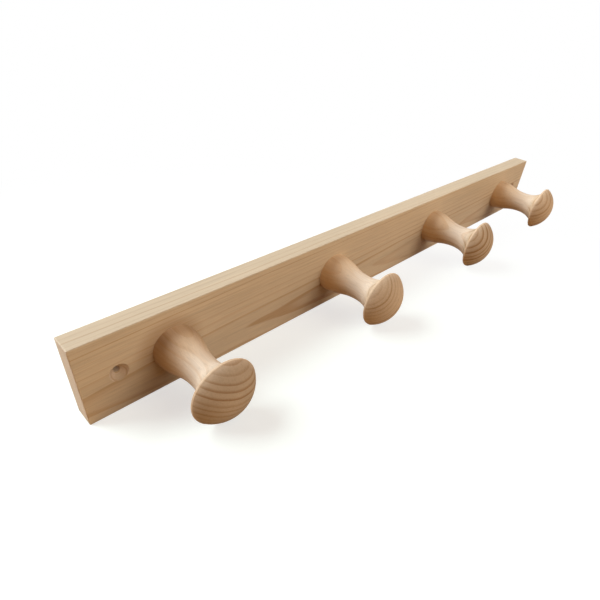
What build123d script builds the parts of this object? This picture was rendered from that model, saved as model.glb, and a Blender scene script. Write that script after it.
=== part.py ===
"""Wall-mounted peg rail: one solid wood board carrying a row of turned mushroom pegs.

The board's back face lies on the wall in the plane Y = 0. X runs along the board, Z is up and
the pegs point out into the room along -Y. The origin is the centre of the back face.
Each peg is turned in one piece, with a spigot that fills a blind bore in the board's front
face, and is drawn up tight by a countersunk wood screw driven from behind.
"""

import os

from build123d import *

# Board
rail_length = 600.0
rail_height = 62.0
rail_thickness = 17.0
rail_arris = 0.8  # rounding of every outside edge

# Screw holes for the wall, at mid-height near both ends
wall_hole_inset = 25.0  # from the board's end to the hole's axis
wall_hole_radius = 2.25
wall_sink_radius = 6.5
wall_sink_angle = 90.0

# Row of pegs
peg_count = 4
peg_end_margin = 64.5  # from the board's end to the outer pegs' axes

# Turned outline of a peg, as radii and as lengths along its axis, counted out from the board
foot_radius = 16.5
foot_land = 2.0  # straight stretch that stands on the board
foot_to_neck = 32.5
foot_fullness = 14.0  # pull of the curve that keeps the foot full
neck_radius = 11.2
neck_slimness = 16.0  # pull of the curve that keeps the neck slim
neck_to_rim = 19.9  # the cove under the head
head_radius = 23.5
rim_band = 1.6
rim_round = 0.7  # rounding of the rim's back edge
crown_round = 2.0  # rounding where the rim meets the crown
crown_height = 14.0

# Spigot under the foot, and the blind bore that takes it
spigot_radius = 7.0
spigot_length = 8.0
spigot_chamfer = 0.8
spigot_clearance = 0.1  # glue line round the spigot
spigot_end_gap = 0.5  # room for glue at the bottom of the bore

# Wood screw behind each peg
screw_bite = 23.0  # length that reaches past the board into the peg
screw_head_radius = 3.75
screw_head_land = 0.3  # cylindrical edge of the head
screw_head_sink = 0.3  # how far the head lies below the board's back face
screw_head_angle = 90.0
screw_shank_radius = 2.0
screw_root_radius = 1.4  # core of the threaded stretch
screw_tip_length = 4.0
screw_seat_clearance = 0.1
screw_shank_clearance = 0.15
screw_root_clearance = 0.1
pilot_spare = 2.0  # pilot hole left empty past the screw's tip

# Cross recess in the screw's head
recess_span = 4.2
recess_width = 0.8
recess_depth = 1.7
recess_taper = 12.0

# Values that follow from the sizes above
peg_pitch = (rail_length - 2 * peg_end_margin) / (peg_count - 1)
wall_hole_spacing = rail_length - 2 * wall_hole_inset
spigot_bore_radius = spigot_radius + spigot_clearance
spigot_bore_depth = spigot_length + spigot_end_gap
screw_seat_radius = screw_head_radius + screw_head_land + screw_head_sink + screw_seat_clearance
screw_hole_radius = screw_shank_radius + screw_shank_clearance
pilot_radius = screw_root_radius + screw_root_clearance
pilot_depth = spigot_length + screw_bite + pilot_spare

front_face = Plane(origin=(0, -rail_thickness, 0), x_dir=(1, 0, 0), z_dir=(0, -1, 0))
back_face = Plane(origin=(0, 0, 0), x_dir=(1, 0, 0), z_dir=(0, 1, 0))


def lathe_plane(x, y):
    """Sketch plane through a peg's axis: local X points into the room, local Y is the radius."""
    return Plane(origin=(x, y, 0), x_dir=(0, -1, 0), z_dir=(-1, 0, 0))


def save(piece, name):
    """Name a finished piece and write its STEP file."""
    piece.part.label = name
    export_step(piece.part, f"parts/{name}.step")


def make_rail():
    """The board, with its peg bores, the screw holes behind them and the two wall holes."""
    with BuildPart() as rail:
        with BuildSketch(front_face):
            Rectangle(rail_length, rail_height)
        extrude(amount=-rail_thickness)
        fillet(rail.edges(), radius=rail_arris)
        with Locations(front_face):
            with GridLocations(peg_pitch, 0, peg_count, 1):
                Hole(radius=spigot_bore_radius, depth=spigot_bore_depth)
            with GridLocations(wall_hole_spacing, 0, 2, 1):
                CounterSinkHole(
                    radius=wall_hole_radius,
                    counter_sink_radius=wall_sink_radius,
                    counter_sink_angle=wall_sink_angle,
                )
        with Locations(back_face):
            with GridLocations(peg_pitch, 0, peg_count, 1):
                CounterSinkHole(
                    radius=screw_hole_radius,
                    counter_sink_radius=screw_seat_radius,
                    depth=rail_thickness,
                    counter_sink_angle=screw_head_angle,
                )
    return rail


def make_peg(x):
    """One turned peg at x: spigot, foot, neck, cove, rim and crown in a single outline."""
    lathe = lathe_plane(x, -rail_thickness)
    neck_distance = foot_land + foot_to_neck
    rim_distance = neck_distance + neck_to_rim
    lip_radius = head_radius - rim_round
    crown_edge = rim_distance + rim_band
    reach = crown_edge + crown_height
    with BuildPart() as peg:
        with BuildSketch(lathe) as outline:
            with BuildLine():
                Polyline(
                    (-spigot_length, 0),
                    (-spigot_length, spigot_radius - spigot_chamfer),
                    (-spigot_length + spigot_chamfer, spigot_radius),
                    (0, spigot_radius),
                    (0, foot_radius),
                    (foot_land, foot_radius),
                )
                Bezier(
                    (foot_land, foot_radius),
                    (foot_land + foot_fullness, foot_radius),
                    (neck_distance - neck_slimness, neck_radius),
                    (neck_distance, neck_radius),
                )
                EllipticalCenterArc(
                    center=(neck_distance, lip_radius),
                    x_radius=neck_to_rim,
                    y_radius=lip_radius - neck_radius,
                    start_angle=270,
                    arc_size=90,
                )
                CenterArc(
                    center=(rim_distance + rim_round, lip_radius),
                    radius=rim_round,
                    start_angle=180,
                    arc_size=-90,
                )
                Line((rim_distance + rim_round, head_radius), (crown_edge, head_radius))
                TangentArc((reach, 0), (crown_edge, head_radius), tangent=(0, 1))
                Line((reach, 0), (-spigot_length, 0))
            make_face()
            crown_corner = outline.vertices().group_by(Axis.Y)[-1].sort_by(Axis.X)[-1]
            fillet(crown_corner, radius=crown_round)
        revolve(axis=Axis(lathe.origin, lathe.x_dir))
        with Locations(back_face.offset(spigot_length - rail_thickness)):
            with Locations((x, 0)):
                Hole(radius=pilot_radius, depth=pilot_depth)
    return peg


def make_screw(x):
    """The countersunk wood screw behind the peg at x, with its thread drawn as a plain core."""
    lathe = lathe_plane(x, -screw_head_sink)
    shank_start = screw_head_land + screw_head_radius - screw_shank_radius
    shank_end = rail_thickness - spigot_bore_depth - screw_head_sink
    tip = rail_thickness + screw_bite - screw_head_sink
    with BuildPart() as screw:
        with BuildSketch(lathe):
            with BuildLine():
                Polyline(
                    (0, 0),
                    (0, screw_head_radius),
                    (screw_head_land, screw_head_radius),
                    (shank_start, screw_shank_radius),
                    (shank_end, screw_shank_radius),
                    (shank_end, screw_root_radius),
                    (tip - screw_tip_length, screw_root_radius),
                    (tip, 0),
                    close=True,
                )
            make_face()
        revolve(axis=Axis(lathe.origin, lathe.x_dir))
        with BuildSketch(back_face.offset(-screw_head_sink)):
            with Locations((x, 0)):
                Rectangle(recess_span, recess_width)
                Rectangle(recess_width, recess_span)
        extrude(amount=-recess_depth, taper=recess_taper, mode=Mode.SUBTRACT)
    return screw


os.makedirs("parts", exist_ok=True)

save(make_rail(), "rail")

first_peg = peg_end_margin - rail_length / 2
for number in range(peg_count):
    peg_x = first_peg + number * peg_pitch
    save(make_peg(peg_x), f"peg_{number + 1}")
    save(make_screw(peg_x), f"peg_screw_{number + 1}")
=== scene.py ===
# %% [markdown]
# # A peg rail in plain pine
# The real object is a planed pine board that is screwed to a wall, with four turned pegs to hang
# coats on. Nothing on it moves. The CAD model already holds every piece at its real size, so this
# lesson is about looks: how the pegs are turned, how pine is grained, and how both are lit.
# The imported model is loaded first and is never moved, because everything else is placed by it.

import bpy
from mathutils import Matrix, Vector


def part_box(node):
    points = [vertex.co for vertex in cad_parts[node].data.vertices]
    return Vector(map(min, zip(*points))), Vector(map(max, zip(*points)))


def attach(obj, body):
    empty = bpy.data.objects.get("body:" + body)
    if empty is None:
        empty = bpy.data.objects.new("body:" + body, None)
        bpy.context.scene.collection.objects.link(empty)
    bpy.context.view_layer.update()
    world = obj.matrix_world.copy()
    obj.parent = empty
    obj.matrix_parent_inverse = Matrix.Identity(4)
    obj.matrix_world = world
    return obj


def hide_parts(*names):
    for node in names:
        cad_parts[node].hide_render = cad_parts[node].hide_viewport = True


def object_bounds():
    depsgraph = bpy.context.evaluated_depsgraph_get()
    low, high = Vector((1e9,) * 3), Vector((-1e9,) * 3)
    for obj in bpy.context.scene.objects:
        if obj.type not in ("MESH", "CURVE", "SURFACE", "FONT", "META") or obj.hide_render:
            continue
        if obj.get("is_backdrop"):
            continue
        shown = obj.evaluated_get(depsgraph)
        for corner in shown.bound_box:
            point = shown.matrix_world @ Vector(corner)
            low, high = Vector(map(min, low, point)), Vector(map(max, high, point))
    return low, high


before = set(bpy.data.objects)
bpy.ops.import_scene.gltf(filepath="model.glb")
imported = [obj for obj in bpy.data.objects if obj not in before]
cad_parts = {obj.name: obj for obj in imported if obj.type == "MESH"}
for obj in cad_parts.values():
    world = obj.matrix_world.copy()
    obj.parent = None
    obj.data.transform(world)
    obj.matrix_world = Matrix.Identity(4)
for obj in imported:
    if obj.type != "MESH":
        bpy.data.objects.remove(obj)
cad_low, cad_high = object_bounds()
print("nodes:", ", ".join(sorted(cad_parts)))

# %% [markdown]
# ## Units and the board
# Blender counts in metres, but a joiner thinks in millimetres, so sizes are written as a number
# times mm. The board's box comes from the frame: its back lies in the plane y = 0, its front face
# looks along -Y, and the length runs along X.

# %% Read the board's size
import math

import bpy
from mathutils import Color, Matrix, Vector

mm = 0.001
board_low, board_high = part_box("rail")
board_size = board_high - board_low
board_front = board_low.y
screw_names = sorted(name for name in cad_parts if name.startswith("peg_screw_"))
peg_names = [name.replace("screw_", "") for name in screw_names]
print("board", [round(side / mm, 1) for side in board_size], "mm")
print("pegs:", peg_names)

# %% [markdown]
# ## The camera
# The rail is seen from its left end and from above, through a wide lens, so the board tapers
# strongly towards the far end. The camera is placed by where it stands, which way it heads, how
# far it looks down and how far it leans. The lens and the small shift are worked out from the
# focal length and the picture's centre, both counted in pixels of a 600 pixel frame.

# %% Place the camera
frame_pixels = 600
focal_pixels = 450.88
centre_pixels = (313.98, 317.32)
camera_place = Vector((-344.2, -236.4, 206.0)) * mm
camera_heading = math.radians(48.285)
camera_down = math.radians(36.923)
camera_lean = math.radians(5.503)

lens_data = bpy.data.cameras.new("camera")
lens_data.sensor_width = 36
lens_data.lens = lens_data.sensor_width * focal_pixels / frame_pixels
lens_data.shift_x = (frame_pixels / 2 - centre_pixels[0]) / frame_pixels
lens_data.shift_y = (centre_pixels[1] - frame_pixels / 2) / frame_pixels
lens_data.clip_start = 10 * mm

camera = bpy.data.objects.new("camera", lens_data)
bpy.context.scene.collection.objects.link(camera)
heading = Matrix.Rotation(-camera_heading, 4, "Z")
looking_down = Matrix.Rotation(math.pi / 2 - camera_down, 4, "X")
leaning = Matrix.Rotation(camera_lean, 4, "Z")
camera.matrix_world = Matrix.Translation(camera_place) @ heading @ looking_down @ leaning
bpy.context.scene.camera = camera
bpy.context.scene.view_settings.view_transform = "Standard"
print(f"lens {lens_data.lens:.2f} mm")

# %% [markdown]
# ## Writing node trees as sums
# Both Geometry Nodes and materials are trees of nodes. They could be wired up one link at a time,
# but that hides what a tree works out. Two small helpers keep it readable: plug sets or links one
# input, and add makes a node with its inputs filled in.

# %% Fill a socket, add a node
def plug(tree, value, socket):
    """Give a socket a value: a Term or another socket is linked, and anything else is set."""
    if isinstance(value, Term):
        value = value.socket
    if isinstance(value, bpy.types.NodeSocket):
        tree.links.new(value, socket)
    else:
        socket.default_value = value


def add(tree, kind, inputs=None, **settings):
    """Make a node, set its properties, then fill its inputs by name or number."""
    node = tree.nodes.new(kind)
    for name, value in settings.items():
        setattr(node, name, value)
    for name, value in (inputs or {}).items():
        plug(tree, value, node.inputs[name])
    return node


# %% [markdown]
# Both kinds of tree also use the same Math node. A Term is a number in a tree that can be added
# or multiplied like any other, so a formula is written as a formula. Two more helpers go from
# three numbers to a place and back.

# %% Numbers and places in a tree
class Term:
    """A number in a node tree. Each sum made with it becomes a Math node."""

    def __init__(self, tree, socket):
        self.tree = tree
        self.socket = socket

    def math(self, operation, *others):
        node = add(self.tree, "ShaderNodeMath", operation=operation)
        for socket, value in zip(node.inputs, (self, *others)):
            plug(self.tree, value, socket)
        return Term(self.tree, node.outputs[0])

    def __add__(self, other):
        return self.math("ADD", other)

    def __sub__(self, other):
        return self.math("SUBTRACT", other)

    def __mul__(self, other):
        return self.math("MULTIPLY", other)

    def __truediv__(self, other):
        return self.math("DIVIDE", other)

    def between(self, low, high, to_low=0.0, to_high=1.0):
        """Rise smoothly from to_low to to_high while this number goes from low to high."""
        source = {"Value": self, "From Min": low, "From Max": high}
        rise = {**source, "To Min": to_low, "To Max": to_high}
        node = add(self.tree, "ShaderNodeMapRange", rise, interpolation_type="SMOOTHSTEP")
        return Term(self.tree, node.outputs["Result"])


def vector(tree, x=0.0, y=0.0, z=0.0):
    """A place or a direction from three numbers."""
    return add(tree, "ShaderNodeCombineXYZ", {"X": x, "Y": y, "Z": z}).outputs[0]


def parts_of(tree, place):
    """The three numbers of a place or a direction."""
    return [Term(tree, side) for side in add(tree, "ShaderNodeSeparateXYZ", {0: place}).outputs]


# %% [markdown]
# ## A workshop for Geometry Nodes
# Turned pegs and wood screws follow rules, so trees of nodes make them and nothing is modelled by
# hand. A geometry tree starts as a list of named sizes, each an input of the modifier. So one tree
# serves all the pegs, and every size can be tried out again later.

# %% Start a geometry tree
input_kinds = {
    float: "NodeSocketFloat",
    int: "NodeSocketInt",
    Vector: "NodeSocketVector",
    bpy.types.Material: "NodeSocketMaterial",
}


def start_tree(name, lengths):
    """A geometry tree with an input for each length, and its inputs as Terms or sockets."""
    kinds = dict.fromkeys(lengths, float)
    kinds.update({"Sides": int, "Place": Vector, "Finish": bpy.types.Material})
    tree = bpy.data.node_groups.new(name, "GeometryNodeTree")
    tree.interface.new_socket("Geometry", in_out="OUTPUT", socket_type="NodeSocketGeometry")
    for label, kind in kinds.items():
        tree.interface.new_socket(label, in_out="INPUT", socket_type=input_kinds[kind])
    given = add(tree, "NodeGroupInput").outputs
    return tree, {
        label: Term(tree, given[label]) if kind is float else given[label]
        for label, kind in kinds.items()
    }


# %% [markdown]
# Every tree ends alike. A turned skin has soft curves and a few crisp corners, so its faces are
# shaded smooth and only the edges that fold sharply stay hard. The trees build a piece downwards,
# along -Z, from its end at the wall. It is then laid over to point into the room, along -Y, and
# put in its place.

# %% Finish a geometry tree
sharp_fold = math.radians(24)


def shade(tree, geometry):
    """Shade the curves smooth and keep the edges that fold sharply."""
    skin = {"Geometry": geometry}
    smooth = add(tree, "GeometryNodeSetShadeSmooth", skin, domain="FACE").outputs[0]
    fold = Term(tree, add(tree, "GeometryNodeInputMeshEdgeAngle").outputs["Unsigned Angle"])
    sharp = fold.math("GREATER_THAN", sharp_fold)
    creases = {"Geometry": smooth, "Selection": sharp, "Shade Smooth": False}
    return add(tree, "GeometryNodeSetShadeSmooth", creases, domain="EDGE").outputs[0]


def end_tree(tree, geometry, size):
    """Point the axis into the room, put the piece in its place, and give it its one material."""
    shaded = shade(tree, geometry)
    standing = {"Geometry": shaded, "Translation": size["Place"], "Rotation": (-math.pi / 2, 0, 0)}
    placed = add(tree, "GeometryNodeTransform", standing).outputs[0]
    real = add(tree, "GeometryNodeRealizeInstances", {"Geometry": placed}).outputs[0]
    painted = add(tree, "GeometryNodeSetMaterial", {"Geometry": real, "Material": size["Finish"]})
    add(tree, "NodeGroupOutput", {"Geometry": painted.outputs[0]})
    print(f"{tree.name}: {len(tree.nodes)} nodes")


# %% [markdown]
# The tree is run once on an empty mesh, the result is kept as a plain mesh, and the modifier is
# thrown away. The finished object sits at the origin with its place in its mesh, as the CAD pieces
# do. Its volume is measured as a check: it is above zero only if the faces point outwards.

# %% Run a geometry tree
def signed_volume(mesh):
    """The mesh's volume, which is above zero if it is closed and its faces point outwards."""
    mesh.calc_loop_triangles()
    corners = [[mesh.vertices[v].co for v in triangle.vertices] for triangle in mesh.loop_triangles]
    return sum(a.dot(b.cross(c)) for a, b, c in corners) / 6


def make_piece(name, tree, values):
    """Run a geometry tree with these values and keep what it makes as a plain mesh object."""
    piece = bpy.data.objects.new(name, bpy.data.meshes.new(name))
    bpy.context.scene.collection.objects.link(piece)
    modifier = piece.modifiers.new(tree.name, "NODES")
    modifier.node_group = tree
    for socket in tree.interface.items_tree:
        if socket.in_out == "INPUT":
            modifier[socket.identifier] = values[socket.name]
    graph = bpy.context.evaluated_depsgraph_get()
    made = bpy.data.meshes.new_from_object(piece.evaluated_get(graph), depsgraph=graph)
    piece.modifiers.remove(modifier)
    piece.data = made
    made.name = name
    print(f"{name}: {len(made.polygons)} faces, {signed_volume(made) / mm**3:.0f} mm3")
    return piece


# %% [markdown]
# ## Turning an outline
# A lathe gives the same shape as a curve swept round a circle. The outline is drawn as distance
# along the axis and radius, from the axis round the whole section and back to the axis, so that
# the swept skin closes. Its pieces are joined and then swept round a guide circle, whose own
# radius is taken off the outline first.

# %% Outline pieces and the lathe
guide_radius = 100 * mm
merge_distance = 0.002 * mm


def lines(tree, *points):
    """Straight stretches from point to point, each given as (distance, radius)."""
    ends = [vector(tree, radius, distance) for distance, radius in points]
    return [
        add(tree, "GeometryNodeCurvePrimitiveLine", {"Start": start, "End": end}).outputs[0]
        for start, end in zip(ends, ends[1:])
    ]


def pulled_curve(tree, steps, *points):
    """A stretch drawn by its start, the two handles that pull it, and its end."""
    names = ("Start", "Start Handle", "End Handle", "End")
    places = [vector(tree, radius, distance) for distance, radius in points]
    inputs = {**dict(zip(names, places)), "Resolution": steps}
    return [add(tree, "GeometryNodeCurvePrimitiveBezierSegment", inputs).outputs[0]]


def arc(tree, steps, centre, width, height, start, sweep):
    """Part of an ellipse: width is its half size along the axis, height its half size across."""
    inputs = {"Resolution": steps, "Radius": 1.0, "Start Angle": start, "Sweep Angle": sweep}
    unit = add(tree, "GeometryNodeCurveArc", inputs).outputs["Curve"]
    distance, radius = centre
    middle = vector(tree, radius, distance)
    placed = {"Geometry": unit, "Translation": middle, "Scale": vector(tree, height, width, 1.0)}
    return [add(tree, "GeometryNodeTransform", placed).outputs[0]]


def turn(tree, stretches, sides):
    """Sweep the joined stretches round the axis and close the skin."""
    outline = add(tree, "GeometryNodeJoinGeometry")
    for stretch in stretches:
        plug(tree, stretch, outline.inputs[0])
    inwards = {"Geometry": outline.outputs[0], "Translation": Vector((-guide_radius, 0, 0))}
    profile = add(tree, "GeometryNodeTransform", inwards).outputs[0]
    circle = {"Radius": guide_radius, "Resolution": sides}
    guide = add(tree, "GeometryNodeCurvePrimitiveCircle", circle).outputs[0]
    sweep = {"Curve": guide, "Profile Curve": profile}
    swept = add(tree, "GeometryNodeCurveToMesh", sweep)
    merged = {"Geometry": swept.outputs[0], "Distance": merge_distance}
    return add(tree, "GeometryNodeMergeByDistance", merged).outputs[0]


# %% [markdown]
# ## The tree of a turned peg
# Each peg is one turned piece: a spigot that is glued into the board, a foot that stands flat on
# it, a slim neck, a hollow cove under the head, a crisp rim and a low dome. The foot is one pulled
# curve, the cove is a quarter of an ellipse and the dome is part of a sphere. The same named sizes
# drive all of them, so a new neck or a larger head still joins its neighbours without a step.

# %% Start the peg tree
quarter = math.pi / 2
curve_steps = 28
corner_steps = 8
dome_steps = 26
peg_tree, size = start_tree(
    "turned_peg",
    [
        "Spigot length", "Spigot radius", "Spigot chamfer", "Pilot radius", "Pilot depth",
        "Foot radius", "Foot land", "Foot to neck", "Foot fullness",
        "Neck radius", "Neck slimness", "Neck to rim",
        "Head radius", "Rim band", "Rim round", "Crown round", "Crown height",
    ],
)

spigot_end = size["Spigot length"] * -1
chamfer_start = spigot_end + size["Spigot chamfer"]
pilot_end = size["Pilot depth"] - size["Spigot length"]
neck = size["Foot land"] + size["Foot to neck"]
rim = neck + size["Neck to rim"]
rim_round = size["Rim round"]
lip_radius = size["Head radius"] - rim_round

spigot_and_bore = lines(
    peg_tree,
    (pilot_end, 0.0),
    (pilot_end, size["Pilot radius"]),
    (spigot_end, size["Pilot radius"]),
    (spigot_end, size["Spigot radius"] - size["Spigot chamfer"]),
    (chamfer_start, size["Spigot radius"]),
    (0.0, size["Spigot radius"]),
    (0.0, size["Foot radius"]),
    (size["Foot land"], size["Foot radius"]),
)
foot = pulled_curve(
    peg_tree,
    curve_steps,
    (size["Foot land"], size["Foot radius"]),
    (size["Foot land"] + size["Foot fullness"], size["Foot radius"]),
    (neck - size["Neck slimness"], size["Neck radius"]),
    (neck, size["Neck radius"]),
)
cove_height = lip_radius - size["Neck radius"]
cove_start = (neck, lip_radius)
cove = arc(peg_tree, curve_steps, cove_start, size["Neck to rim"], cove_height, math.pi, -quarter)
lip_centre = (rim + rim_round, lip_radius)
rim_back = arc(peg_tree, corner_steps, lip_centre, rim_round, rim_round, -quarter, quarter)
print("from spigot to rim:", len(spigot_and_bore + foot + cove + rim_back), "stretches")

# %% [markdown]
# The dome is part of a sphere that starts on the rim's edge and ends on the axis, so its radius
# follows from the head's radius and the dome's height. A small arc rounds the corner between rim
# and dome. Its centre lies one rounding inside both, which a right triangle gives.

# %% Add the rim and the dome, and turn the peg
head = size["Head radius"]
crown_height = size["Crown height"]
crown_round = size["Crown round"]
reach = rim + size["Rim band"] + crown_height
crown_radius = (head * head + crown_height * crown_height) / (crown_height * 2.0)
crown_centre = reach - crown_radius
inner = crown_radius - crown_round
corner_radius = head - crown_round
corner_distance = (inner * inner - corner_radius * corner_radius).math("SQRT")
corner_centre = crown_centre + corner_distance
corner_angle = corner_distance.math("ARCTAN2", corner_radius)

rim_edge = lines(peg_tree, (rim + rim_round, head), (corner_centre, head))
corner = (corner_centre, corner_radius)
rim_front = arc(peg_tree, corner_steps, corner, crown_round, crown_round, 0.0, corner_angle)
dome_centre = (crown_centre, 0.0)
dome_sweep = corner_angle * -1 + quarter
dome = arc(peg_tree, dome_steps, dome_centre, crown_radius, crown_radius, corner_angle, dome_sweep)

outline = spigot_and_bore + foot + cove + rim_back + rim_edge + rim_front + dome
end_tree(peg_tree, turn(peg_tree, outline, size["Sides"]), size)

# %% [markdown]
# ## The tree of a wood screw
# A countersunk wood screw holds each peg from behind. A real one is rolled from wire, but its body
# has the shape of a turned piece, so the lathe serves again: a cone under the head, a plain shank,
# a thinner core and a point.

# %% Turn the screw's body
screw_tree, size = start_tree(
    "wood_screw",
    [
        "Head radius", "Head land", "Shank radius", "Shank end",
        "Core radius", "Tip length", "Length",
        "Crest radius", "Thread width", "Thread pitch",
        "Recess span", "Recess width", "Recess depth", "Recess inset",
    ],
)
head = size["Head radius"]
shank = size["Shank radius"]
shank_end = size["Shank end"]
core = size["Core radius"]
length = size["Length"]
tip_length = size["Tip length"]
cone_end = size["Head land"] + head - shank

body_outline = lines(
    screw_tree,
    (0.0, 0.0),
    (0.0, head),
    (size["Head land"], head),
    (cone_end, shank),
    (shank_end, shank),
    (shank_end, core),
    (length - tip_length, core),
    (length, 0.0),
)
body = turn(screw_tree, body_outline, size["Sides"])
print("the screw's outline:", len(body_outline), "stretches")

# %% [markdown]
# The thread is a triangle that is swept along a spiral. It fades out at the shank, and near the
# point it is drawn in towards the axis with the core. Later a boolean joins thread and body into
# one skin, because the real thread is squeezed out of the same wire.

# %% Wind the thread
steps_per_turn = 28
thread_start = 0.6 * mm
thread_length = length - shank_end - thread_start
thread_half = size["Thread width"] * 0.5
helix_radius = size["Crest radius"] - thread_half
helix = {
    "Resolution": steps_per_turn,
    "Rotations": thread_length / size["Thread pitch"],
    "Start Radius": helix_radius,
    "End Radius": helix_radius,
    "Height": thread_length,
}
spiral = add(screw_tree, "GeometryNodeCurveSpiral", helix).outputs[0]
upright = add(screw_tree, "GeometryNodeSetCurveNormal", {"Curve": spiral}, mode="Z_UP").outputs[0]
ridge = {"Resolution": 3, "Radius": thread_half}
triangle = add(screw_tree, "GeometryNodeCurvePrimitiveCircle", ridge)
share = Term(screw_tree, add(screw_tree, "GeometryNodeSplineParameter").outputs["Factor"])
sweep = {
    "Curve": upright,
    "Profile Curve": triangle.outputs[0],
    "Scale": share.between(0.95, 1.0, 1.0, 0.1),
    "Fill Caps": True,
}
wound = add(screw_tree, "GeometryNodeCurveToMesh", sweep).outputs[0]
lowered = {"Geometry": wound, "Translation": vector(screw_tree, z=length * -1 + thread_start)}
thread = add(screw_tree, "GeometryNodeTransform", lowered).outputs[0]

x, y, z = parts_of(screw_tree, add(screw_tree, "GeometryNodeInputPosition").outputs[0])
narrowing = ((z + length) / tip_length).math("MINIMUM", 1.0)
drawn_in = {"Geometry": thread, "Position": vector(screw_tree, x * narrowing, y * narrowing, z)}
thread = add(screw_tree, "GeometryNodeSetPosition", drawn_in).outputs[0]
print("body and thread:", len(screw_tree.nodes), "nodes")

# %% [markdown]
# The cross recess is pressed in by two wedges that narrow towards the bottom, so the driver seats
# without play. Each wedge is a box whose lower corners are moved in, and both are cut from the
# head in one boolean.

# %% Press the cross recess and finish the screw
wedge_lift = 0.2 * mm


def wedge(span, width):
    """One bar of the cross, from a little above the head down to the recess's bottom."""
    height = size["Recess depth"] + wedge_lift
    box = add(screw_tree, "GeometryNodeMeshCube", {"Size": vector(screw_tree, span, width, height)})
    x, y, z = parts_of(screw_tree, add(screw_tree, "GeometryNodeInputPosition").outputs[0])
    inset = size["Recess inset"] * -1
    corners = {
        "Geometry": box.outputs["Mesh"],
        "Selection": z.math("LESS_THAN", 0.0),
        "Offset": vector(screw_tree, x.math("SIGN") * inset, y.math("SIGN") * inset),
    }
    tapered = add(screw_tree, "GeometryNodeSetPosition", corners).outputs[0]
    middle = vector(screw_tree, z=height * -0.5 + wedge_lift)
    lowered = {"Geometry": tapered, "Translation": middle}
    return add(screw_tree, "GeometryNodeTransform", lowered).outputs[0]


whole = add(screw_tree, "GeometryNodeMeshBoolean", operation="UNION", solver="MANIFOLD")
plug(screw_tree, body, whole.inputs["Mesh 2"])
plug(screw_tree, thread, whole.inputs["Mesh 2"])
crossed = add(screw_tree, "GeometryNodeMeshBoolean", operation="DIFFERENCE", solver="MANIFOLD")
plug(screw_tree, whole.outputs[0], crossed.inputs["Mesh 1"])
plug(screw_tree, wedge(size["Recess span"], size["Recess width"]), crossed.inputs["Mesh 2"])
plug(screw_tree, wedge(size["Recess width"], size["Recess span"]), crossed.inputs["Mesh 2"])
end_tree(screw_tree, crossed.outputs[0], size)

# %% [markdown]
# ## How pine is grained
# A tree adds one ring a year: pale, soft earlywood in spring, then a thin band of hard amber
# latewood that stops at once when winter comes. A board or a peg is cut out of those rings, so one
# pattern in space serves every face: long lines on the faces, arcs on the ends. The pattern is the
# distance from the pith, the tree's centre line, which can lie well outside the piece. First come
# the colours, written as they look on a screen, and a few helpers for patterns in wood.

# %% Colours and pattern helpers
def seen(red, green, blue, tone=1.0):
    """A colour as it looks on a screen, from 0 to 255, in the light values that shaders use."""
    linear = Color((red / 255, green / 255, blue / 255)).from_srgb_to_scene_linear()
    return (*(linear * tone), 1.0)


def vector_math(tree, operation, *vectors):
    """One step of vector arithmetic."""
    return add(tree, "ShaderNodeVectorMath", dict(enumerate(vectors)), operation=operation)


def object_place(tree):
    """Where a point lies on the piece itself, in metres."""
    return add(tree, "ShaderNodeTexCoord").outputs["Object"]


def cloud(tree, place, across, along, detail=2.0):
    """Soft noise whose blots have these sizes in millimetres across and along the grain."""
    steps = (1 / across, 1 / across, 1 / along)
    counted = vector_math(tree, "MULTIPLY", place, steps).outputs[0]
    return add(tree, "ShaderNodeTexNoise", {"Vector": counted, "Scale": 1.0, "Detail": detail})


def how_far(tree, x, y, z):
    """The distance from the origin to the place x, y, z."""
    return Term(tree, vector_math(tree, "LENGTH", vector(tree, x, y, z)).outputs["Value"])


# A Mix node has sockets of the same names for numbers, places and colours. The ones for colours
# are told apart by where they stand in its lists.
mix_share, mix_first, mix_second, mix_result = 0, 6, 7, 2


def blend(tree, share, first, second):
    """Mix two colours by a share from 0 to 1."""
    inputs = {mix_share: share, mix_first: first, mix_second: second}
    return add(tree, "ShaderNodeMix", inputs, data_type="RGBA").outputs[mix_result]


def brighten(tree, colour, factor):
    """Make a colour lighter or darker by a factor."""
    scaled = vector_math(tree, "SCALE", colour)
    plug(tree, factor, scaled.inputs["Scale"])
    return scaled.outputs[0]


# %% [markdown]
# The grain's own space has its origin on the pith and its Z axis along the pith, in millimetres.
# A Mapping node turns Object coordinates into it. No pith is straight, so the place is then pushed
# about by soft noise, far along the grain for the sway and close by for the small waves of a ring.
# Each year's ring gets its own width and its own strength, because no two summers are the same.

# %% Find the growth rings
# How many millimetres grow until the weather changes, how far that moves the rings, and the shares
# of a year at which latewood is full and winter sets in.
weather_span = 9
weather_reach = 3.0
late_full = 0.87
winter_from = 0.93


def grain_space(tree, pith_point, pith_direction):
    """Object coordinates in millimetres, with the pith as the Z axis."""
    turned = pith_direction.rotation_difference(Vector((0, 0, 1)))
    mapping = {
        "Vector": object_place(tree),
        "Location": turned @ (pith_point / -mm),
        "Rotation": turned.to_euler(),
        "Scale": (1 / mm, 1 / mm, 1 / mm),
    }
    return add(tree, "ShaderNodeMapping", mapping).outputs[0]


def push(tree, place, across, along, reach):
    """Push a place sideways, off the grain's axis, by up to about this many millimetres."""
    noise = cloud(tree, place, across, along, detail=1.0).outputs["Color"]
    centred = vector_math(tree, "SUBTRACT", noise, (0.5, 0.5, 0.5)).outputs[0]
    shift = vector_math(tree, "MULTIPLY", centred, (2 * reach, 2 * reach, 0)).outputs[0]
    return vector_math(tree, "ADD", place, shift).outputs[0]


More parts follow.
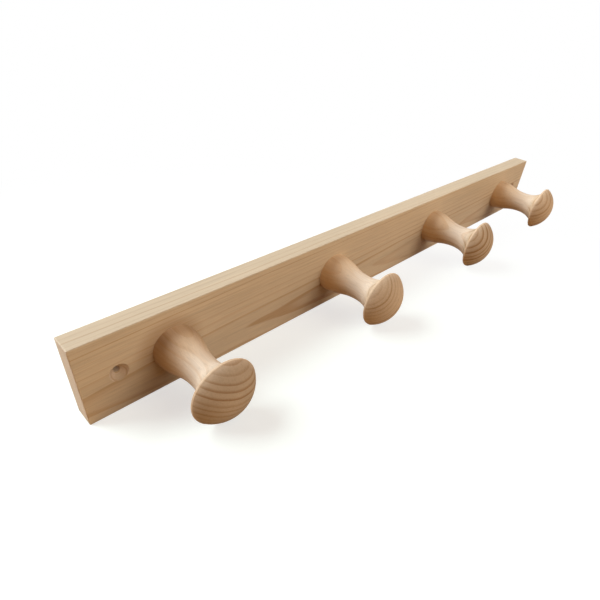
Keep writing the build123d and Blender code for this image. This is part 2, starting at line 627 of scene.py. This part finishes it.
def growth_rings(tree, place, ring_width, first_year, late_from, sway, waviness):
    """The latewood share from 0 to 1, and a random number for each year."""
    swayed = push(tree, place, across=90, along=260, reach=sway)
    waved = push(tree, swayed, across=8, along=60, reach=waviness)
    x, y, _ = parts_of(tree, waved)
    radius = how_far(tree, x, y, 0.0)
    years_of_weather = {"W": radius / weather_span, "Scale": 1.0}
    weather = add(tree, "ShaderNodeTexNoise", years_of_weather, noise_dimensions="1D").outputs[0]
    growth = (radius + Term(tree, weather) * weather_reach) / ring_width + first_year
    year = add(tree, "ShaderNodeTexWhiteNoise", {"W": growth.math("FLOOR")}, noise_dimensions="1D")
    season = growth.math("FRACT")
    hardening = season.between(late_from, late_full).math("POWER", 1.3)
    late = hardening * season.between(winter_from, 1.0, 1.0, 0.0)
    return late, Term(tree, year.outputs["Value"])


# %% [markdown]
# ## One recipe for pine
# Wood gets its colour in layers. Over the rings lie slow drifts of tone, streaks and fibres that
# run with the grain, and resin canals, which show as short fine dashes. All of them are long and
# thin like the cells that wood is made of, so each is soft noise that is stretched along the grain.

# %% Add drifts, fibres and resin canals
def fine_layers(tree, place, colour):
    """The colour with all these layers, and the shares of fibre and canal for later use."""
    drift = Term(tree, cloud(tree, place, across=30, along=240).outputs[0])
    colour = brighten(tree, colour, drift.between(0.3, 0.7, 0.93, 1.04))
    streak = Term(tree, cloud(tree, place, across=1.4, along=80, detail=3.0).outputs[0])
    colour = brighten(tree, colour, streak.between(0.45, 0.75, 1.0, 0.9))
    fibre = Term(tree, cloud(tree, place, across=0.5, along=16, detail=4.0).outputs[0])
    colour = brighten(tree, colour, fibre.between(0.25, 0.75, 0.94, 1.05))
    pores = Term(tree, cloud(tree, place, across=0.35, along=3.5, detail=1.0).outputs[0])
    canal = pores.between(0.7, 0.78)
    return blend(tree, canal * 0.3, colour, seen(150, 104, 62)), fibre, canal


# %% [markdown]
# The recipe itself takes where the pith lies, how wide the rings are, and the colours of early and
# late wood. End grain has its own pair of colours, because it drinks light and dirt. The layers
# also set the roughness and a fine relief: latewood is hard, so sanding leaves it proud and a
# little glossier. Bare wood hardly shines, so the specular level is low, and it is set on the
# shader itself because it is the same everywhere.

# %% Make a pine material
def pine(
    name,
    pith_point,
    pith_direction,
    ring_width,
    face_colours,
    end_colours,
    first_year,
    late_from,
    sway,
    waviness,
    worked,
):
    """Pine whose rings run round the line through pith_point along pith_direction.

    worked adds what tools and years did, and painted light and shade. It is given the tree and the
    colour, and gives back the changed colour and a height in millimetres.
    """
    material = bpy.data.materials.new(name)
    material.use_nodes = True
    tree = material.node_tree
    shader = tree.nodes["Principled BSDF"]
    direction = Vector(pith_direction).normalized()
    place = grain_space(tree, Vector(pith_point), direction)
    late, year = growth_rings(tree, place, ring_width, first_year, late_from, sway, waviness)

    normal = add(tree, "ShaderNodeTexCoord").outputs["Normal"]
    along = Term(tree, vector_math(tree, "DOT_PRODUCT", normal, direction).outputs["Value"])
    end_grain = along.math("ABSOLUTE").between(0.25, 0.65)
    band = late * (year * year * 0.75 + 0.25)
    face_colour = blend(tree, band, *face_colours)
    end_colour = blend(tree, band, *end_colours)
    colour = blend(tree, end_grain, face_colour, end_colour)
    colour, fibre, canal = fine_layers(tree, place, colour)
    height = band * 0.02 + fibre * 0.03 - canal * 0.03 + end_grain * fibre * 0.05
    colour, marks = worked(tree, colour)
    height = height + marks
    plug(tree, colour, shader.inputs["Base Color"])
    shader.inputs["Specular IOR Level"].default_value = 0.08
    rough = end_grain * 0.25 + fibre * 0.16 - band * 0.08 + 0.46
    plug(tree, rough, shader.inputs["Roughness"])
    relief = {"Height": height, "Distance": mm, "Strength": 1.0}
    plug(tree, add(tree, "ShaderNodeBump", relief).outputs[0], shader.inputs["Normal"])
    print(f"{name}: {len(tree.nodes)} nodes")
    return material


# %% [markdown]
# ## The board
# The board keeps its CAD mesh, which already has the eased edges, the bores and the countersunk
# holes. Work has left a mark on it: the edges are a little paler where sanding rounded them. The
# two wall holes are painted darker, a painted shade in their countersunk recesses. Folding the
# place about the board's middle lets one edge and one hole stand for all of them.

# %% Mark the board's edges and wall holes
wall_hole_x = 275 * mm
sink_radius = 6.5 * mm
board_middle = (board_low + board_high) / 2


def sanded_and_bored(tree, colour):
    """Paler eased edges, and painted shade in the screw sinks."""
    centred = vector_math(tree, "SUBTRACT", object_place(tree), board_middle).outputs[0]
    folded = vector_math(tree, "ABSOLUTE", centred).outputs[0]
    depth = vector_math(tree, "SUBTRACT", folded, board_size / 2).outputs[0]
    x, y, z = parts_of(tree, depth)
    along_y_or_z = x.math("MINIMUM", y.math("MAXIMUM", z))
    edge = along_y_or_z.math("MAXIMUM", y.math("MINIMUM", z)).between(-1.4 * mm, -0.2 * mm)
    colour = blend(tree, edge * 0.15, colour, seen(240, 220, 188))

    x, y, z = parts_of(tree, folded)
    hole_distance = how_far(tree, x - wall_hole_x, 0.0, z)
    # Painted shade: inside the countersunk wall holes the colour is darkened.
    inside = hole_distance.between(sink_radius, sink_radius + 0.4 * mm, 1.0, 0.0)
    sunk = y.between(8.0 * mm, 8.4 * mm, 1.0, 0.0)
    return blend(tree, inside * sunk * 0.25, colour, seen(150, 106, 62))


# %% [markdown]
# Years add marks of their own, and some light and shade is painted on with them. The top edge is
# greyed, by dust and by painted shade that tones down its strong light. The back is painted
# darker, a painted shade that tones down the light from the lamp behind it. The board round the
# first peg's foot is painted darker, a painted shadow of the flared peg. Which way a face looks
# tells the top, the back and the front apart. The planer's ripples are too fine to see as a
# shape, so they are only a slight relief.

# %% Add the years, the painted shade and the planer
# The painted shadow round a peg's foot is centred on the first peg.
shaded_peg_x = -239 * mm
planer_step = 1.7 * mm


def planed(tree, colour):
    """The board's work, wear and painted shade, and the planer's ripples as a height in
    millimetres.
    """
    colour = sanded_and_bored(tree, colour)
    _, back, up = parts_of(tree, add(tree, "ShaderNodeTexCoord").outputs["Normal"])
    # Painted shade with dust: faces that look up are greyed and darkened.
    colour = blend(tree, up.between(0.4, 0.9) * 0.25, colour, seen(190, 184, 170))
    # Painted shade: faces that look backwards are darkened.
    colour = blend(tree, back.between(0.4, 0.9) * 0.5, colour, seen(178, 146, 108))

    x, _, z = parts_of(tree, object_place(tree))
    # Painted shadow: the board's front round the first peg's foot is darkened, more above it than
    # below.
    shade_round_peg = how_far(tree, x - shaded_peg_x, 0.0, z).between(17 * mm, 29 * mm, 1.0, 0.0)
    over_peg = z.between(-14 * mm, 8 * mm, 0.1, 1.0)
    in_front = back.between(-0.9, -0.4, 1.0, 0.0)
    colour = blend(tree, shade_round_peg * over_peg * in_front * 0.42, colour, seen(150, 106, 62))
    ripple = (x * (math.tau / planer_step)).math("SINE") * 0.0015
    return colour, ripple


# %% [markdown]
# The board is flat-sawn. Its pith lies behind it, a little below mid-height, and slants slowly
# towards the front on its way to the right. So the front face cuts the rings in long arches that
# open to the right, the top edge cuts them in straight lines, and the ends show them as arcs.

# %% Paint the board
board_pine = pine(
    "planed_pine_board",
    pith_point=(-158 * mm, 22.55 * mm, -16 * mm),
    pith_direction=(1, -0.016, 0.0),
    ring_width=2.6,
    face_colours=(seen(218, 198, 168), seen(194, 160, 121)),
    end_colours=(seen(228, 210, 188), seen(196, 168, 134)),
    first_year=679,
    late_from=0.58,
    sway=1.5,
    waviness=0.5,
    worked=planed,
)


def paint(node_name, material):
    """Give a CAD piece a finish in every one of its material slots."""
    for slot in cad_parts[node_name].material_slots:
        slot.material = material


paint("rail", board_pine)

# %% [markdown]
# ## The four pegs
# The sizes of a peg are those of the CAD piece, and what the frame knows is read from it later.
# The lathe leaves rings too fine to feel, so they are a slight relief. Light and shade are also
# painted on. The rim is darkened a little, by the wear of hands and by painted shade that damps
# its bright edge. The foot is tinted a warm honey, painted warm light thrown back between board
# and peg. The corner where the foot meets the board is painted dark, a painted shade that is
# weaker on the top side, which catches the light.

# %% Size and mark a peg
peg_values = {
    "Spigot radius": 7.0 * mm,
    "Spigot chamfer": 0.8 * mm,
    "Foot radius": 16.5 * mm,
    "Foot land": 2.0 * mm,
    "Foot to neck": 32.5 * mm,
    "Foot fullness": 14.0 * mm,
    "Neck radius": 11.2 * mm,
    "Neck slimness": 16.0 * mm,
    "Neck to rim": 19.9 * mm,
    "Rim band": 1.6 * mm,
    "Rim round": 0.7 * mm,
    "Crown round": 2.0 * mm,
    "Crown height": 14.0 * mm,
    "Pilot radius": 1.5 * mm,
    "Pilot depth": 33.0 * mm,
    "Sides": 128,
}
lathe_step = 0.8 * mm


def turned_and_shaded(tree, colour, axis_x, head_radius, tone, foot_shade):
    """A rim darker by wear and painted shade, a foot with painted warm light and painted shade
    in its corner, and the lathe's rings as a height.
    """
    x, y, z = parts_of(tree, object_place(tree))
    x = x - axis_x
    out = y * -1 + board_front
    radius = how_far(tree, x, 0.0, z)
    # Painted shade on the rim edge, with the wear of hands.
    rim = radius.between(head_radius - 0.8 * mm, head_radius)
    colour = blend(tree, rim * 0.4, colour, seen(204, 166, 120))
    # Painted warm light: near the board the foot is tinted towards honey.
    painted_warm_light = out.between(12 * mm, 34 * mm, 1.0, 0.0)
    colour = blend(tree, painted_warm_light * 0.22, colour, seen(236, 182, 80, tone))
    # Painted shade in the corner where the foot meets the board, weaker on the top side, which
    # catches the light.
    corner = out.between(4 * mm, 30 * mm, 1.0, 0.0)
    weaker_on_top = (z / radius).between(0.8, 1.0, 1.0, 0.5)
    colour = blend(tree, corner * weaker_on_top * foot_shade, colour, seen(120, 76, 34))
    rings = (how_far(tree, x, out, z) * (math.tau / lathe_step)).math("SINE") * 0.0012
    return colour, rings


# %% [markdown]
# Each peg was turned from its own square of pine, so each has its own pith. All four were cut well
# off the tree's centre, and their rings are wide, so a dome shows about ten broad bands. The first
# pith lies farthest away, so its bands are nearly straight, where the others bend to arcs. Pegs
# from one bag also differ in tone, and the first has the deepest painted shade at its foot.

# %% Turn the pegs
# A pith is given by how far it passes from the peg's axis, across and up, in millimetres, the
# tones are how bright the faces and the end grain are, and the last number is how strong the
# painted shade in the foot's corner is.
peg_woods = [
    dict(pith=(55, 195), ring_width=4.2, first_year=4265.46, tones=(1.04, 0.8), foot_shade=0.5),
    dict(pith=(-46, 50), ring_width=3.6, first_year=934.4, tones=(1.1, 1.02), foot_shade=0.0),
    dict(pith=(-44, 40), ring_width=4.6, first_year=925.3, tones=(1.08, 0.91), foot_shade=0.05),
    dict(pith=(-46, 40), ring_width=5.0, first_year=0.6, tones=(1.12, 1.08), foot_shade=0.0),
]


def turned_peg(name, pith, ring_width, first_year, tones, foot_shade):
    """One peg at the place that the CAD piece of that name has."""
    low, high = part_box(name)
    axis_x = (low.x + high.x) / 2
    head_radius = (high.x - low.x) / 2
    face_tone, end_tone = tones

    def marked(tree, colour):
        return turned_and_shaded(tree, colour, axis_x, head_radius, face_tone, foot_shade)

    wood = pine(
        f"turned_pine_{name}",
        pith_point=(axis_x + pith[0] * mm, low.y, pith[1] * mm),
        pith_direction=(0.02, 1, 0.03),
        ring_width=ring_width,
        face_colours=(seen(236, 218, 196, face_tone), seen(226, 202, 174, face_tone)),
        end_colours=(seen(214, 190, 160, end_tone), seen(172, 132, 92, end_tone)),
        first_year=first_year,
        late_from=0.4,
        sway=1.2,
        waviness=0.35,
        worked=marked,
    )
    values = {
        **peg_values,
        "Spigot length": high.y - board_front,
        "Head radius": head_radius,
        "Place": (axis_x, board_front, 0),
        "Finish": wood,
    }
    peg = make_piece(f"turned_{name}", peg_tree, values)
    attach(peg, "root")
    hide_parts(name)


for peg_name, peg_wood in zip(peg_names, peg_woods):
    turned_peg(peg_name, **peg_wood)

# %% [markdown]
# ## The screws behind the pegs
# The screws are steel with a thin coat of zinc. Zinc looks like a pale, slightly cloudy metal, so
# the colour drifts between a cooler and a warmer grey in small patches, and the roughness drifts
# with it. Metal is bare reflection, which the metallic value says.

# %% Make the zinc
zinc = bpy.data.materials.new("zinc_plated_steel")
zinc.use_nodes = True
tree = zinc.node_tree
shader = tree.nodes["Principled BSDF"]
shader.inputs["Metallic"].default_value = 1.0
place = vector_math(tree, "SCALE", object_place(tree))
place.inputs["Scale"].default_value = 1 / mm
blots = Term(tree, cloud(tree, place.outputs[0], across=1.5, along=1.5, detail=3.0).outputs[0])
patches = blots.between(0.35, 0.65)
cool_or_warm = blend(tree, patches, seen(196, 200, 204), seen(212, 208, 196))
plug(tree, cool_or_warm, shader.inputs["Base Color"])
scuffs = Term(tree, cloud(tree, place.outputs[0], across=0.25, along=0.25).outputs[0])
plug(tree, scuffs * 0.2 + patches * 0.1 + 0.2, shader.inputs["Roughness"])
pits = {"Height": scuffs * 0.01, "Distance": mm, "Strength": 1.0}
plug(tree, add(tree, "ShaderNodeBump", pits).outputs[0], shader.inputs["Normal"])
print(f"{zinc.name}: {len(tree.nodes)} nodes")

# %% [markdown]
# A 4 x 40 mm wood screw is a standard size, so its sizes are written down, and only its head and
# its length are read from the frame. The recess narrows by 12 degrees from the face to its bottom.

# %% Size and set the screws
recess_taper = math.radians(12)
screw_values = {
    "Head land": 0.3 * mm,
    "Shank radius": 2.0 * mm,
    "Shank end": 8.2 * mm,
    "Core radius": 1.4 * mm,
    "Tip length": 4.0 * mm,
    "Crest radius": 2.0 * mm,
    "Thread width": 0.9 * mm,
    "Thread pitch": 1.8 * mm,
    "Recess span": 4.2 * mm,
    "Recess width": 0.8 * mm,
    "Recess depth": 1.7 * mm,
    "Recess inset": 1.7 * mm * math.tan(recess_taper),
    "Sides": 64,
    "Finish": zinc,
}


def wood_screw(name):
    """One screw at the place that the CAD piece of that name has."""
    low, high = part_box(name)
    values = {
        **screw_values,
        "Head radius": (high.x - low.x) / 2,
        "Length": high.y - low.y,
        "Place": ((low.x + high.x) / 2, high.y, 0),
    }
    screw = make_piece(f"zinc_{name}", screw_tree, values)
    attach(screw, "root")
    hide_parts(name)


for screw_name in screw_names:
    wood_screw(screw_name)

# %% [markdown]
# ## The table it lies on
# The rail lies on a white table, tipped forward onto the rims of its heads. The model stays where
# it is, so the table leans instead: one sheet that is level behind the board, rises straight from
# the board's lower edge to the heads, and is eased back to level in small steps, so that the
# rail's shadow shows no crease.

# %% Lay the table
table_half = 3.0
clearance = 0.2 * mm
head_low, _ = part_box("peg_1")
rim_y = head_low.y + peg_values["Crown height"]
table_slope = (head_low.z - board_low.z - clearance) / (board_front - rim_y)
levels_from = head_low.y
levels_over = 40 * mm
levels_steps = 10


def table_height(y):
    """The table's height at y: level, then a straight rise, then a soft return to level."""
    rising = min(max(board_front - y, 0), board_front - levels_from)
    easing = min(max(levels_from - y, 0), levels_over)
    return board_low.z + table_slope * (rising + easing - easing * easing / (2 * levels_over))


eased_rows = [levels_from - levels_over * n / levels_steps for n in range(levels_steps + 1)]
rows = [(y, table_height(y)) for y in (table_half, board_front, *eased_rows, -table_half)]
points = [(x, y, z) for y, z in rows for x in (-table_half, table_half)]
strips = [(2 * n, 2 * n + 1, 2 * n + 3, 2 * n + 2) for n in range(len(rows) - 1)]
table_mesh = bpy.data.meshes.new("table")
table_mesh.from_pydata(points, [], strips)
table = bpy.data.objects.new("table", table_mesh)
bpy.context.scene.collection.objects.link(table)
table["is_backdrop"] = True
print("table rises", round((rows[-1][1] - rows[0][1]) / mm, 1), "mm")

# %% [markdown]
# What a ray sees depends on what it is for. Rays from the camera, and those that a glossy surface
# sends out, see the table almost white by its own glow, with just enough of the real light left
# to show the shadow. The glow grows away from the rail's near end, until the table is plain white.
# Every other ray sees a warm tan, which is what light looks like once it has gone to and fro
# between table and wood.

# %% Paint the table
def watched(tree):
    """1 for the rays that draw the picture's background, and 0 for those that carry light."""
    rays = add(tree, "ShaderNodeLightPath").outputs
    direct_or_glossy = Term(tree, rays["Is Camera Ray"]).math("MAXIMUM", rays["Is Glossy Ray"])
    return direct_or_glossy.math("MAXIMUM", rays["Is Transmission Ray"])


table_glow = 0.63
table_colour = seen(182, 193, 187)
bounce_colour = seen(170, 133, 82)
near_end = (-0.25, -0.1, 0)
fade_from = 0.05
fade_to = 0.52
table_white = bpy.data.materials.new("table_white")
table_white.use_nodes = True
tree = table_white.node_tree
shader = tree.nodes["Principled BSDF"]
from_near_end = vector_math(tree, "DISTANCE", object_place(tree), near_end)
far = Term(tree, from_near_end.outputs["Value"]).between(fade_from, fade_to)
near_colour = blend(tree, far, table_colour, (0, 0, 0, 1))
plug(tree, blend(tree, watched(tree), bounce_colour, near_colour), shader.inputs["Base Color"])
shader.inputs["Roughness"].default_value = 0.9
shader.inputs["Specular IOR Level"].default_value = 0.0
shader.inputs["Emission Color"].default_value = (1, 1, 1, 1)
glow = watched(tree) * (far * (1 - table_glow) + table_glow)
plug(tree, glow, shader.inputs["Emission Strength"])
table_mesh.materials.append(table_white)
print(f"{table_white.name}: {len(tree.nodes)} nodes")

# %% [markdown]
# The air round the table does the same. Seen directly it is a white backdrop. To the wood it gives
# a dim, warm light from all round, like that of a room with wooden things in it, so that the
# undersides stay warm and are neither black nor flooded.

# %% Fill the air
ambient = seen(104, 62, 24)
air = bpy.data.worlds.new("studio_air")
air.use_nodes = True
tree = air.node_tree
backdrop = tree.nodes["Background"]
plug(tree, blend(tree, watched(tree), ambient, (1, 1, 1, 1)), backdrop.inputs["Color"])
bpy.context.scene.world = air
print(f"{air.name}: {len(tree.nodes)} nodes")

# %% [markdown]
# ## Soft studio light
# Two wide lamps light the rail. The larger one is a window's worth of cool light behind it, at the
# left and above: it makes the board's top edge, the end and the coves bright, and throws the
# heads' faint shadows forward to the right. The other is weaker and warmer and stands in front,
# somewhat to the right and above. It fills the board's front and leaves the left side of every
# foot in shade.

# %% Hang the lamps
def soft_lamp(name, place, width, level, colour):
    """A square lamp aimed at the rail. Its level is how bright white paper looks that faces it."""
    lamp = bpy.data.lights.new(name, "AREA")
    lamp.shape = "SQUARE"
    lamp.size = width
    lamp.color = colour
    place = Vector(place)
    lamp.energy = level * math.pi**2 * place.length_squared
    aimed = place.to_track_quat("Z", "Y").to_matrix().to_4x4()
    stand = bpy.data.objects.new(name, lamp)
    stand.matrix_world = Matrix.Translation(place) @ aimed
    bpy.context.scene.collection.objects.link(stand)
    print(f"{name}: {lamp.energy:.0f} W")


soft_lamp("lamp_window", (-1.7, 3.1, 2.25), 3.8, 1.93, (0.88, 0.96, 1.0))
soft_lamp("lamp_front", (0.75, -2.05, 1.3), 2.2, 0.63, (1.0, 0.94, 0.84))

# %% [markdown]
# ## Close the lesson
# The finished look has to keep the CAD model's size, so the largest change between the two
# boxes is printed.

# %% Compare the boxes and finish
seen_low, seen_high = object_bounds()
changes = [abs(a - b) for a, b in zip((*cad_low, *cad_high), (*seen_low, *seen_high))]
print(f"largest change of size: {max(changes) / mm:.3f} mm")
